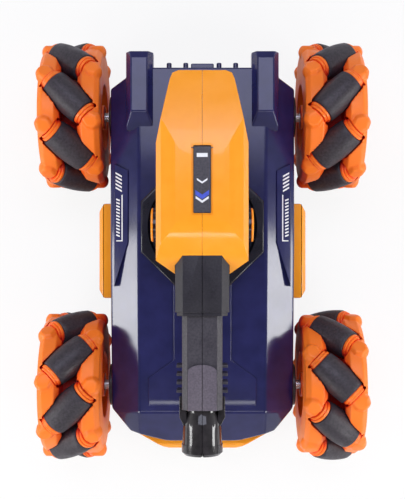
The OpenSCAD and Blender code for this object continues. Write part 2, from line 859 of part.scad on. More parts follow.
// Eight-sided collar, bearing floor and the turret motor's bracket
module turret_ring() {
  leg_y = pinion_y - motor_d / 2 + 1;
  color([0.09, 0.09, 0.1]) {
    translate([0, turret_y, base_z]) difference() {
      union() {
        octagon(ring_half, ring_top - base_z);
        octagon(ring_half + base_lip, base_floor - 0.4);
      }
      translate([0, 0, base_floor]) cylinder(r = ring_half - ring_band, h = 2 * deck_rise);
      translate([0, 0, -1]) cylinder(r = neck_r + run, h = deck_rise);
    }
    difference() {
      translate([-bracket_half, leg_y, bracket_z]) cube([2 * bracket_half, motor_d - 2, bracket_t]);
      translate([0, pinion_y, bracket_z - 1]) cylinder(r = motor_shaft_r + 0.3, h = bracket_t + 2);
    }
    for (s = [0, 1]) mirror([s, 0, 0]) translate([bracket_half - 2, leg_y, bracket_z])
      cube([2, 8, base_z - bracket_z + eps]);
  }
}

module yoke_cheek() {
  difference() {
    across_x(cheek_in, cheek_out) {
      translate([turret_y, trunnion_z]) circle(r = cheek_top_r);
      polygon([[turret_y - cheek_foot, table_top - 1], [turret_y + cheek_foot, table_top - 1],
               [turret_y + cheek_top_r, trunnion_z], [turret_y - cheek_top_r, trunnion_z]]);
    }
    translate([0, turret_y, trunnion_z]) bar_x(cheek_in - 1, cheek_out + 1, trunnion_d / 2 + run);
  }
}

// Turntable with two cheeks, and the gear pressed on its neck
module turret_yoke() {
  color([0.1, 0.1, 0.11]) {
    difference() {
      translate([0, turret_y, 0]) {
        translate([0, 0, table_z]) cylinder(r = table_r, h = table_top - table_z);
        translate([0, 0, gear_z]) cylinder(r = neck_r, h = table_top - gear_z);
      }
      translate([0, turret_y, 0]) cylinder(r = cable_r, h = 2 * deck_z);
    }
    for (s = [0, 1]) mirror([s, 0, 0]) yoke_cheek();
    translate([0, turret_y, gear_z]) linear_extrude(gear_t) difference() {
      polygon(gear_outline(gear_teeth, -90));
      circle(r = neck_r + run);
    }
  }
}

// Gun shell from three sides, drawn in by one wall for its inside
module gun_form(d) {
  intersection() {
    translate([0, 0, floor_z]) linear_extrude(2 * trunnion_z) polygon(mirrored([
      [gun_rear_half - tail_round, gun_rear_y - d],
      [gun_rear_half - 0.3 * tail_round - d, gun_rear_y - 0.3 * tail_round - d],
      [gun_rear_half - d, gun_rear_y - tail_round], [gun_half - d, gun_wide_y],
      [gun_half - d, gun_shoulder_y], [gun_front_half - d / 2, gun_front_y + d]]));
    across_x(-gun_w, gun_w) polygon([
      [gun_rear_y + 1, gun_tail_top_z - d], [gun_wide_y, gun_top_z - d], [gun_brow_y, gun_top_z - d],
      [gun_lip_y, gun_lip_z - d], [gun_front_y - 1, gun_brow_front_z - d], [gun_front_y - 1, gun_chin_z + d],
      [gun_shoulder_y + 3, gun_low_z + d], [gun_low_rear_y, gun_low_z + d],
      [gun_rear_y + 1, gun_tail_low_z + d]]);
    along_y(gun_front_y - 2, gun_rear_y + 2) polygon(mirrored([
      [top_half - 0.3 * d, gun_top_z - d], [gun_half - top_in - 0.6 * d, gun_top_z - top_bevel - 0.9 * d],
      [gun_half - d, gun_top_z - top_round], [gun_half - d, gun_low_z + low_cut],
      [gun_half - low_cut - d, gun_low_z + d]]));
  }
}

// Eight-sided section of the barrel about its axis
module barrel_section(half, flat, gap) {
  a = half + gap;
  b = flat + gap / 2;
  translate([0, trunnion_z]) polygon(concat(
    [[b, a], [a, b], [a, -b], [b, -a]], [[-b, -a], [-a, -b], [-a, b], [-b, a]]));
}

module trunnion_side() {
  translate([0, turret_y, trunnion_z]) bar_x(gun_half - 1, cap_in - parting, trunnion_d / 2);
}

// Ribs, shelf and ledge inside the shell
module gun_inside() {
  intersection() {
    gun_form(gun_wall / 2);
    union() {
      for (y = [firing_y + 3, firing_y + motor_len - 5]) translate([-gun_w, y, gun_low_z])
        cube([2 * gun_w, firing_rib, firing_z - motor_flat / 2 - gun_low_z]);
      translate([-gun_w, hatch_front - 4, shelf_z]) cube([2 * gun_w, hatch_len + 8, shelf_t]);
      translate([-hatch_w / 2, hatch_front - 3, gun_top_z - hatch_t - 0.2 - ledge])
        cube([hatch_w, 3 + ledge, ledge]);
      translate([-hatch_w / 2, hatch_front - 3, gun_top_z - hatch_t - 0.2 - eps])
        cube([hatch_w, 3 - hatch_gap, hatch_t]);
    }
  }
}

module gun_shell() {
  color([1, 0.56, 0.14]) {
    difference() {
      union() {
        difference() {
          gun_form(0);
          gun_form(gun_wall);
        }
        gun_inside();
        for (s = [0, 1]) mirror([s, 0, 0]) trunnion_side();
      }
      translate([-parting / 2, -body_nose, 0]) cube([parting, 3 * body_nose, 2 * trunnion_z]);
      along_y(gun_front_y - 5, collar_rear_y + 6) barrel_section(collar_w / 2, collar_top_half, 0.1);
      translate([-hatch_w / 2 - hatch_gap, hatch_front - hatch_gap, gun_top_z - hatch_t - 0.2])
        cube([hatch_w + 2 * hatch_gap, hatch_len + 2 * hatch_gap, 2 * hatch_t]);
      translate([-hatch_w / 2 - frame_rim, hatch_front - frame_rim, gun_top_z - frame_deep])
        cube([hatch_w + 2 * frame_rim, hatch_len + 2 * frame_rim, 1]);
      translate([0, hatch_axis[0], hatch_axis[1]])
        bar_x(-hatch_w / 2 - hatch_pin - 0.2, hatch_w / 2 + hatch_pin + 0.2, hatch_pin_r + run);
    }
    for (s = [0, 1]) mirror([s, 0, 0]) translate([0, turret_y, trunnion_z])
      bar_x(cap_in, cap_in + cap_t, cap_d / 2);
  }
}

// Lid with a rounded hinge edge and two pivot pins
module hopper_hatch() {
  color([0.25, 0.25, 0.28]) {
    translate([-hatch_w / 2, hatch_front, gun_top_z - hatch_t])
      cube([hatch_w, hatch_axis[0] - hatch_front, hatch_t]);
    translate([0, hatch_axis[0], hatch_axis[1]]) {
      bar_x(-hatch_w / 2, hatch_w / 2, hatch_t / 2);
      bar_x(-hatch_w / 2 - hatch_pin, hatch_w / 2 + hatch_pin, hatch_pin_r);
    }
  }
}

module barrel_outside() {
  along_y(collar_front_y + collar_cut, collar_rear_y) barrel_section(collar_w / 2, collar_top_half, 0);
  along_y(collar_front_y, collar_front_y + collar_cut + eps)
    barrel_section(collar_w / 2 - collar_cut / 2, collar_top_half, 0);
  along_y(nozzle_y, collar_front_y + eps) barrel_section(tube_w / 2, tube_top_half, 0);
  for (i = [0:rib_count - 1]) translate([0, rib_front_y + i * rib_pitch, trunnion_z])
    translate([-tube_w / 2 - rib_out, 0, -6]) cube([tube_w + 2 * rib_out, rib_t, 12]);
  translate([0, nozzle_y, trunnion_z]) linear_extrude(tube_w / 2 + plate_rise) {
    translate([-plate_half, 0]) square([2 * plate_half, plate_len]);
    translate([0, plate_len]) scale([1, plate_arc / plate_half]) circle(r = plate_half);
  }
  translate([0, nozzle_y + eps, trunnion_z]) rotate([90, 0, 0]) rotate_extrude() polygon([
    [0, 0], [throat_r, 0], [throat_r, throat_len], [muzzle_r - 0.6, funnel_len],
    [muzzle_r - 0.4, nozzle_len - muzzle_ring], [muzzle_r, nozzle_len - muzzle_ring],
    [muzzle_r, nozzle_len - 1.6], [muzzle_r - 1.6, nozzle_len], [0, nozzle_len]]);
  for (s = [0, 1]) mirror([s, 0, 0]) translate([0, 0, trunnion_z - wing_half])
    linear_extrude(2 * wing_half) polygon([
      [tube_w / 2 - wing_in, wing_rear_y], [tube_w / 2 + wing_out, wing_rear_y],
      [tube_w / 2 + wing_out, wing_front_y], [tube_w / 2 - 1, wing_tip_y],
      [tube_w / 2 - wing_in - 1, wing_tip_y]]);
  bar_y(collar_rear_y - eps, breech_end_y, breech_r, trunnion_z);
}

// Two barrel halves clamped on the inner barrel, with the breech behind
module gun_barrel() {
  inner_r = bore_d / 2 + inner_wall;
  color([0.2, 0.2, 0.21]) {
    difference() {
      barrel_outside();
      bar_y(muzzle_y - 1, inner_rear_y + 0.1, inner_r + run, trunnion_z);
      bar_y(inner_rear_y, piston_front_y + 1, bore_d / 2, trunnion_z);
      bar_y(piston_front_y - 0.3, breech_end_y - breech_wall, piston_d / 2 + run, trunnion_z);
      bar_y(piston_front_y, breech_end_y + 1, rod_r + 0.3, trunnion_z);
      translate([0, inner_rear_y + port_r / 2 + 1, trunnion_z]) cylinder(r = port_r - 1.5, h = collar_w);
      translate([-notch_w / 2, muzzle_y - 1, trunnion_z + muzzle_r - 3]) cube([notch_w, notch_deep + 1, 4]);
      translate([-parting / 2, muzzle_y - 1, 0])
        cube([parting, 2 * body_nose + breech_end_y, 2 * trunnion_z]);
    }
    difference() {
      bar_y(muzzle_y + 0.6, inner_rear_y, inner_r, trunnion_z);
      bar_y(muzzle_y, inner_rear_y + 1, bore_d / 2, trunnion_z);
    }
  }
}

module firing_piston() {
  color([0.9, 0.9, 0.88]) {
    bar_y(piston_front_y, piston_front_y + piston_len, piston_d / 2, trunnion_z);
    bar_y(piston_front_y + piston_len - eps, rod_tip_y, rod_r, trunnion_z);
  }
}

function spring_point(t) = let (a = 360 * spring_turns * t)
  [spring_r * cos(a), spring_y + wire_d / 2 + t * (spring_end_y - spring_y - wire_d),
   trunnion_z + spring_r * sin(a)];

// Wire swept along the coil, each ring of points facing the coil's axis
module piston_spring() {
  last = spring_turns * spring_rings;
  color([0.75, 0.76, 0.78]) loft([for (i = [0:last]) let (t = i / last, a = 360 * spring_turns * t)
    [for (j = [spring_sides - 1:-1:0]) let (b = 360 * j / spring_sides)
      spring_point(t) + wire_d / 2 * [cos(b) * cos(a), sin(b), cos(b) * sin(a)]]]);
}

module firing_motor() {
  color([0.7, 0.7, 0.72]) translate([0, firing_y + motor_len, firing_z]) rotate([90, 0, 0]) motor(0);
}

chassis_tub();
body_shell();
front_bumper();
side_bumpers();
gearbox_housings();
motors();
battery_pack();
circuit_board();
turret_ring();
body_screws();
battery_door();
power_switch();
turret_pinion();
turret_yoke();
gun_shell();
gun_barrel();
hopper_hatch();
firing_piston();
piston_spring();
firing_motor();
for (w = WHEELS) {
  wheel_hub(w);
  drive_shaft(w);
  for (k = [1:roller_count]) roller(w, k);
}
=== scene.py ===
import math

import bmesh
import bpy
from mathutils import Matrix, Vector


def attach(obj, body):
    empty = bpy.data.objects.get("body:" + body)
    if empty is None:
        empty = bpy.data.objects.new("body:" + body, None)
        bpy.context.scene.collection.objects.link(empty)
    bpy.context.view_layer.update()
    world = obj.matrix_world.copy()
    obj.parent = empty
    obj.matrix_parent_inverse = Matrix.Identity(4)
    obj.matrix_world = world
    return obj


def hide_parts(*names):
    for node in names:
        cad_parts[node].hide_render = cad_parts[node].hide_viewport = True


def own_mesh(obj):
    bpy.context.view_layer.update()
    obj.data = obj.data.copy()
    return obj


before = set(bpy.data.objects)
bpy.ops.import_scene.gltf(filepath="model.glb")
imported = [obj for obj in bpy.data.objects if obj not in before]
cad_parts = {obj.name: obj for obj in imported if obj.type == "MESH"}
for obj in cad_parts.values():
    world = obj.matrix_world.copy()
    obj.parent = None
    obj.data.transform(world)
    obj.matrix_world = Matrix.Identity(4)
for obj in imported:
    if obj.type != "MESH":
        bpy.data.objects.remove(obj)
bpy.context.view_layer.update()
mm = 0.001
near = {  # points nearer than this, in mm, count as one
    "edge": 0.3, "bevel": 0.02, "turn": 0.005, "cut": 0.002, "plane": 0.001,
}
print("frame loaded:", len(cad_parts), "nodes")


# picking and edit mode

def pick(*pieces):
    if bpy.context.object and bpy.context.object.mode != "OBJECT":
        bpy.ops.object.mode_set(mode="OBJECT")
    bpy.ops.object.select_all(action="DESELECT")
    for piece in pieces:
        piece.select_set(True)
    bpy.context.view_layer.objects.active = pieces[0]


def openMesh(piece, kind="VERT"):
    pick(piece)
    bpy.ops.object.mode_set(mode="EDIT")
    bpy.ops.mesh.select_mode(type=kind)
    bpy.ops.mesh.select_all(action="DESELECT")
    return bmesh.from_edit_mesh(piece.data)


def closeMesh():
    bpy.ops.object.mode_set(mode="OBJECT")


def chosen(piece, kind, test):  # selects the parts of the open mesh that pass the test
    bpy.ops.mesh.select_mode(type=kind)
    bpy.ops.mesh.select_all(action="DESELECT")
    mesh = bmesh.from_edit_mesh(piece.data)
    parts = {"VERT": mesh.verts, "EDGE": mesh.edges, "FACE": mesh.faces}[kind]
    count = 0
    for part in parts:
        if test(part):
            part.select = True
            count += 1
    mesh.select_flush_mode()
    bmesh.update_edit_mesh(piece.data)
    return count


def addModifier(piece, kind, **settings):
    pick(piece)
    modifier = piece.modifiers.new(kind.title(), kind)
    for key, value in settings.items():
        setattr(modifier, key, value)
    bpy.ops.object.modifier_apply(modifier=modifier.name)


def smoothBy(piece, degrees):
    pick(piece)
    bpy.ops.object.shade_smooth_by_angle(angle=math.radians(degrees))


def startPoint(name):  # one loose point to draw from, left open in edit mode
    if bpy.context.object and bpy.context.object.mode != "OBJECT":
        bpy.ops.object.mode_set(mode="OBJECT")
    bpy.ops.object.select_all(action="DESELECT")
    bpy.ops.mesh.primitive_plane_add(size=mm)
    piece = bpy.context.object
    piece.name = name
    piece.data.name = name
    openMesh(piece)
    bpy.ops.mesh.select_all(action="SELECT")
    bpy.ops.mesh.merge(type="CENTER")
    return piece


def drawLine(points):
    spot = Vector((0, 0, 0))
    for i, point in enumerate(points):
        goal = Vector(point)
        if i == 0:
            bpy.ops.transform.translate(value=goal - spot)
        else:
            bpy.ops.mesh.extrude_vertices_move(TRANSFORM_OT_translate={"value": goal - spot})
        spot = goal


def outward():
    bpy.ops.mesh.select_all(action="SELECT")
    bpy.ops.mesh.normals_make_consistent(inside=False)


def block(name, corners, along):  # a flat face through the corners, in mm, pulled along a vector
    piece = startPoint(name)
    drawLine([Vector(corner) * mm for corner in corners])
    bpy.ops.mesh.select_all(action="SELECT")
    bpy.ops.mesh.edge_face_add()
    bpy.ops.mesh.select_all(action="SELECT")
    bpy.ops.mesh.extrude_region_move(TRANSFORM_OT_translate={"value": Vector(along) * mm})
    outward()
    closeMesh()
    return piece


def slab(name, outline, low, high):  # an outline of (x, y) raised from low to high
    return block(name, [(x, y, low) for x, y in outline], (0, 0, high - low))


def bothSides(half):  # the right half of an outline, closed with its mirror image
    return list(half) + [(-x, y) for x, y in reversed(half)]


def shave(piece, spot, away, inset=0):  # cuts off what lies beyond a plane
    facing = Vector(away).normalized()
    openMesh(piece)
    bpy.ops.mesh.select_all(action="SELECT")
    bpy.ops.mesh.bisect(plane_co=(Vector(spot) - facing * inset) * mm, plane_no=facing,
                        use_fill=True, clear_outer=True, threshold=near["plane"] * mm)
    closeMesh()


def shaveBoth(piece, spot, away, inset=0):  # the same on the left and the right
    for side in (1, -1):
        shave(piece, (side * spot[0], *spot[1:]), (side * away[0], *away[1:]), inset)


def shaveOutline(piece, outline, inset):  # top view of (x, y), drawn from the rear on the right
    for (x0, y0), (x1, y1) in zip(outline, outline[1:]):
        shaveBoth(piece, (x0, y0, 0), (y0 - y1, x1 - x0, 0), inset)
    shave(piece, (0, outline[0][1], 0), (0, 1, 0), inset)
    shave(piece, (0, outline[-1][1], 0), (0, -1, 0), inset)


def shaveChain(piece, chain, inset=0):  # side view of (y, z), drawn from the rear over the top
    for (y0, z0), (y1, z1) in zip(chain, chain[1:]):
        shave(piece, (0, y0, z0), (0, z1 - z0, y0 - y1), inset)


def bowed(chain, steps=4):  # a corner's third number says how far from it a curve begins and ends
    line = [chain[0]]
    for before, corner, after in zip(chain, chain[1:], chain[2:]):
        middle, reach = Vector(corner[:2]), corner[2]
        start = middle + (Vector(before[:2]) - middle).normalized() * reach
        end = middle + (Vector(after[:2]) - middle).normalized() * reach
        for i in range(steps + 1):
            share = i / steps
            line.append(start.lerp(middle, share).lerp(middle.lerp(end, share), share)[:])
    return line + [chain[-1]]


def shaveSection(piece, chain, inset=0):  # front view of (x, z), drawn upwards on the right
    for (x0, z0), (x1, z1) in zip(chain, chain[1:]):
        shaveBoth(piece, (x0, 0, z0), (z1 - z0, 0, x0 - x1), inset)


def slope(a, b, c):
    away = (Vector(b) - Vector(a)).cross(Vector(c) - Vector(a))
    return away if away.z > 0 else -away


def weld(piece, reach):  # merges points that all but meet, so that no folded sliver is left
    openMesh(piece)
    bpy.ops.mesh.select_all(action="SELECT")
    bpy.ops.mesh.remove_doubles(threshold=reach * mm)
    closeMesh()


def roundEdges(piece, radius, segments, dullest, test=None):  # leaves edges under an angle sharp
    openMesh(piece, "EDGE")
    bpy.ops.mesh.select_all(action="SELECT")
    bpy.ops.mesh.remove_doubles(threshold=near["edge"] * mm)
    outward()

    def wanted(edge):
        if len(edge.link_faces) != 2 or edge.calc_face_angle_signed() < math.radians(dullest):
            return False
        return test is None or test(edge)
    chosen(piece, "EDGE", wanted)
    bpy.ops.mesh.bevel(offset_type="OFFSET", offset=radius * mm, segments=segments, profile=0.5,
                       affect="EDGES", clamp_overlap=True)
    closeMesh()
    weld(piece, near["bevel"])


def cutBy(piece, cutter):
    addModifier(piece, "BOOLEAN", object=cutter, operation="DIFFERENCE", solver="EXACT")
    bpy.data.objects.remove(cutter)
    weld(piece, near["cut"])


def addTo(piece, other):
    addModifier(piece, "BOOLEAN", object=other, operation="UNION", solver="EXACT")
    bpy.data.objects.remove(other)


def joined(piece, *others):
    pick(piece, *others)
    bpy.ops.object.join()
    return piece


def polished(piece, paint, degrees=35):
    piece.data.materials.clear()
    piece.data.materials.append(finish[paint])
    smoothBy(piece, degrees)
    addModifier(piece, "WEIGHTED_NORMAL", keep_sharp=True, weight=80)


def turned(name, outline, steps):  # outline of (radius, height) spun about Z
    piece = startPoint(name)
    drawLine([(radius, 0, height) for radius, height in outline])
    bpy.ops.mesh.select_all(action="SELECT")
    bpy.ops.mesh.spin(steps=steps, angle=2 * math.pi, center=(0, 0, 0), axis=(0, 0, 1))
    bpy.ops.mesh.select_all(action="SELECT")
    bpy.ops.mesh.remove_doubles(threshold=near["turn"] * mm)
    outward()
    closeMesh()
    return piece


# finishes

noiseLow, noiseHigh = 0.3, 0.7  # where nearly all of a noise texture's values lie
mottleLow, mottleHigh = 0.32, 0.68
detail = {"plain": 3.0, "mottle": 4.0, "smear": 5.0, "grain": 2.0}
# painted shade in nooks: occlusion samples, the share of mottle mixed in, and where the deep, middle
# and open colours sit on the ramp
paintedNookShadeLook = {"samples": 8, "mottle": 0.12, "deep": 0.3, "middle": 0.62, "open": 0.98}


def newPaint(name):
    paint = bpy.data.materials.new(name)
    paint.use_nodes = True
    nodes = paint.node_tree.nodes
    shader = nodes["Principled BSDF"]
    place = nodes.new("ShaderNodeTexCoord")
    return paint, nodes, paint.node_tree.links, shader, place.outputs["Object"]


def noiseFrom(nodes, links, place, scale, kind="plain"):
    noise = nodes.new("ShaderNodeTexNoise")
    noise.inputs["Scale"].default_value = scale
    noise.inputs["Detail"].default_value = detail[kind]
    links.new(place, noise.inputs["Vector"])
    return noise.outputs["Fac"]


def rampFrom(nodes, links, source, stops):
    ramp = nodes.new("ShaderNodeValToRGB")
    first, last = ramp.color_ramp.elements
    first.position, first.color = stops[0][0], (*stops[0][1], 1)
    last.position, last.color = stops[-1][0], (*stops[-1][1], 1)
    for where, colour in stops[1:-1]:
        ramp.color_ramp.elements.new(where).color = (*colour, 1)
    links.new(source, ramp.inputs["Fac"])
    return ramp.outputs["Color"]


def spanFrom(nodes, links, source, low, high):
    span = nodes.new("ShaderNodeMapRange")
    span.inputs["From Min"].default_value = noiseLow
    span.inputs["From Max"].default_value = noiseHigh
    span.inputs["To Min"].default_value = low
    span.inputs["To Max"].default_value = high
    links.new(source, span.inputs["Value"])
    return span.outputs["Result"]


def moulded(name, look):  # moulded plastic or rubber: mottled colour, uneven gloss, fine grain and, where the look asks for it, painted shade in nooks
    paint, nodes, links, shader, place = newPaint(name)
    mottle = noiseFrom(nodes, links, place, look["mottle"], "mottle")
    if "paintedNookShade" in look:  # painted shade: the colour turns a darker, deeper red in the nooks that ambient occlusion finds
        paintedNookShade = nodes.new("ShaderNodeAmbientOcclusion")
        paintedNookShade.samples = paintedNookShadeLook["samples"]
        paintedNookShade.inputs["Distance"].default_value = look["reach"]
        nookShadeAndMottle = nodes.new("ShaderNodeMath")
        nookShadeAndMottle.operation = "MULTIPLY_ADD"
        nookShadeAndMottle.inputs[1].default_value = paintedNookShadeLook["mottle"]
        links.new(mottle, nookShadeAndMottle.inputs[0])
        links.new(paintedNookShade.outputs["AO"], nookShadeAndMottle.inputs[2])
        stops = [(paintedNookShadeLook["deep"], look["paintedNookShade"]), (paintedNookShadeLook["middle"], look["dark"]),
                 (paintedNookShadeLook["open"], look["light"])]
        colour = rampFrom(nodes, links, nookShadeAndMottle.outputs[0], stops)
    else:
        stops = [(mottleLow, look["dark"]), (mottleHigh, look["light"])]
        colour = rampFrom(nodes, links, mottle, stops)
    links.new(colour, shader.inputs["Base Color"])
    smear = noiseFrom(nodes, links, place, look["smear"], "smear")
    links.new(spanFrom(nodes, links, smear, *look["rough"]), shader.inputs["Roughness"])
    grain = noiseFrom(nodes, links, place, look["grain"], "grain")
    bump = nodes.new("ShaderNodeBump")
    bump.inputs["Strength"].default_value = look["bump"]
    bump.inputs["Distance"].default_value = look["depth"]
    links.new(grain, bump.inputs["Height"])
    links.new(bump.outputs["Normal"], shader.inputs["Normal"])
    shader.inputs["Metallic"].default_value = look.get("metal", 0.0)
    shader.inputs["IOR"].default_value = look.get("ior", 1.5)
    return paint


finish = {
    "indigo": moulded("indigoShell", {
        "dark": (0.012, 0.013, 0.070), "light": (0.018, 0.019, 0.094), "mottle": 90, "smear": 40,
        "rough": (0.12, 0.19), "grain": 700, "bump": 0.05, "depth": 0.2 * mm}),
    "gunOrange": moulded("gunOrange", {
        "dark": (0.97, 0.34, 0.015), "light": (1.0, 0.36, 0.019), "mottle": 120, "smear": 60,
        "rough": (0.12, 0.2), "grain": 1400, "bump": 0.04, "depth": 0.15 * mm}),
    "wheelOrange": moulded("wheelOrange", {
        # the wheel's colour follows painted shade: the first colour in the deepest nooks, dark where
        # partly hidden, light in the open
        "paintedNookShade": (0.8, 0.022, 0.014), "dark": (0.95, 0.085, 0.007), "light": (1.0, 0.212, 0.015),
        "reach": 14 * mm, "mottle": 150, "smear": 90, "ior": 1.42,
        "rough": (0.34, 0.48), "grain": 900, "bump": 0.06, "depth": 0.2 * mm}),
    "rubber": moulded("rollerRubber", {
        "dark": (0.018, 0.014, 0.019), "light": (0.043, 0.034, 0.045), "mottle": 700, "smear": 200,
        "rough": (0.42, 0.6), "grain": 1600, "bump": 0.3, "depth": 0.2 * mm}),
    "black": moulded("blackSatin", {
        "dark": (0.010, 0.010, 0.013), "light": (0.018, 0.018, 0.022), "mottle": 150, "smear": 80,
        "rough": (0.3, 0.42), "grain": 1200, "bump": 0.1, "depth": 0.15 * mm}),
    "gloss": moulded("glossBlack", {
        "dark": (0.009, 0.009, 0.016), "light": (0.016, 0.015, 0.026), "mottle": 130, "smear": 60,
        "rough": (0.1, 0.18), "grain": 800, "bump": 0.05, "depth": 0.15 * mm}),
    "collar": moulded("collarBlack", {
        "dark": (0.008, 0.007, 0.012), "light": (0.019, 0.016, 0.024), "mottle": 900, "smear": 120,
        "rough": (0.36, 0.5), "grain": 1500, "bump": 0.15, "depth": 0.15 * mm}),
    "plate": moulded("plateGrey", {
        "dark": (0.085, 0.072, 0.092), "light": (0.13, 0.11, 0.138), "mottle": 900, "smear": 120,
        "rough": (0.36, 0.5), "grain": 1500, "bump": 0.15, "depth": 0.15 * mm}),
    "barrel": moulded("barrelGrey", {
        "dark": (0.028, 0.025, 0.033), "light": (0.055, 0.049, 0.06), "mottle": 900, "smear": 120,
        "rough": (0.34, 0.48), "grain": 1500, "bump": 0.15, "depth": 0.15 * mm}),
    "smoke": moulded("smokyMuzzle", {
        "dark": (0.012, 0.011, 0.012), "light": (0.034, 0.030, 0.033), "mottle": 160, "smear": 60,
        "rough": (0.06, 0.14), "grain": 500, "bump": 0.08, "depth": 0.2 * mm}),
    "steel": moulded("platedSteel", {
        "dark": (0.55, 0.56, 0.58), "light": (0.68, 0.68, 0.7), "mottle": 300, "smear": 200,
        "rough": (0.22, 0.38), "grain": 1800, "bump": 0.1, "depth": 0.1 * mm, "metal": 1.0}),
    "can": moulded("motorCan", {
        "dark": (0.42, 0.42, 0.44), "light": (0.55, 0.55, 0.57), "mottle": 200, "smear": 150,
        "rough": (0.25, 0.4), "grain": 1500, "bump": 0.1, "depth": 0.1 * mm, "metal": 0.9}),
    "wrap": moulded("batteryWrap", {
        "dark": (0.03, 0.10, 0.36), "light": (0.05, 0.14, 0.45), "mottle": 100, "smear": 70,
        "rough": (0.25, 0.4), "grain": 400, "bump": 0.15, "depth": 0.3 * mm}),
    "board": moulded("boardMask", {
        "dark": (0.01, 0.10, 0.03), "light": (0.02, 0.16, 0.05), "mottle": 250, "smear": 100,
        "rough": (0.2, 0.35), "grain": 800, "bump": 0.15, "depth": 0.2 * mm}),
    "acetal": moulded("naturalAcetal", {
        "dark": (0.72, 0.69, 0.6), "light": (0.8, 0.77, 0.68), "mottle": 200, "smear": 120,
        "rough": (0.35, 0.5), "grain": 1200, "bump": 0.08, "depth": 0.1 * mm}),
    "red": moulded("switchRed", {
        "dark": (0.62, 0.03, 0.02), "light": (0.72, 0.05, 0.04), "mottle": 300, "smear": 150,
        "rough": (0.25, 0.4), "grain": 1500, "bump": 0.06, "depth": 0.1 * mm}),
    "white": moulded("whitePrint", {
        "dark": (0.74, 0.74, 0.76), "light": (0.84, 0.84, 0.85), "mottle": 500, "smear": 200,
        "rough": (0.3, 0.45), "grain": 1500, "bump": 0.05, "depth": 0.05 * mm}),
    "blue": moulded("bluePrint", {
        "dark": (0.04, 0.07, 0.5), "light": (0.06, 0.1, 0.6), "mottle": 500, "smear": 200,
        "rough": (0.3, 0.45), "grain": 1500, "bump": 0.05, "depth": 0.05 * mm}),
}
print("finishes mixed:", len(finish))

for node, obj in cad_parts.items():  # the pieces inside keep their solids and get a finish
    obj.data.materials.clear()
    obj.data.materials.append(finish["black"])
inside = {
    "motors": "can", "firing_motor": "can", "battery_pack": "wrap", "circuit_board": "board",
    "body_screws": "steel", "turret_pinion": "acetal", "firing_piston": "acetal",
}
for node, coat in inside.items():
    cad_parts[node].data.materials[0] = finish[coat]


# copies of the solids with their edges eased

def cadCopy(node, name):
    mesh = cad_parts[node].data.copy()
    mesh.materials.clear()
    mesh.name = name
    piece = bpy.data.objects.new(name, mesh)
    bpy.context.scene.collection.objects.link(piece)
    pick(piece)
    bpy.ops.mesh.customdata_custom_splitnormals_clear()
    openMesh(piece)
    bpy.ops.mesh.select_all(action="SELECT")
    bpy.ops.mesh.remove_doubles(threshold=near["cut"] * mm)
    closeMesh()
    return piece


def settle(piece, body, slot, *nodes):
    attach(piece, body)
    if nodes:
        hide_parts(*nodes)


easing = {"flat": 0.5, "smooth": 40, "seam": 0.1 * mm}
tableLook = {"centre": 15 * mm, "level": 87.5 * mm, "within": 0.1 * mm, "inside": 33 * mm}


def eased(look):
    piece = cadCopy(look["node"], look["name"])
    openMesh(piece, "FACE")
    bpy.ops.mesh.select_all(action="SELECT")
    bpy.ops.mesh.dissolve_limited(angle_limit=math.radians(easing["flat"]))
    for turn in look["rounds"]:
        radius, shortest, dullest = turn[:3]
        where = turn[3] if len(turn) > 3 else None

        def wanted(edge):
            if len(edge.link_faces) != 2 or edge.calc_length() < shortest:
                return False
            if edge.calc_face_angle_signed() < math.radians(dullest):
                return False
            return where is None or where(edge)
        count = chosen(piece, "EDGE", wanted)
        bpy.ops.mesh.bevel(offset_type="OFFSET", offset=radius, segments=look["segments"],
                           profile=0.5, affect="EDGES", clamp_overlap=False)
        print("  eased", look["name"], count, "edges")
    closeMesh()
    weld(piece, near["bevel"])
    polished(piece, look["paint"], easing["smooth"])
    settle(piece, look["body"], look["slot"], look["node"])
    return piece


def offSeam(edge):  # the joint line of the barrel's halves stays crisp
    return max(abs(v.co.x) for v in edge.verts) > easing["seam"]


def tableRim(edge):  # the turntable's top edge
    middle = (edge.verts[0].co + edge.verts[1].co) / 2
    reach = math.hypot(middle.x, middle.y - tableLook["centre"])
    level = abs(middle.z - tableLook["level"]) < tableLook["within"]
    return level and reach > tableLook["inside"]


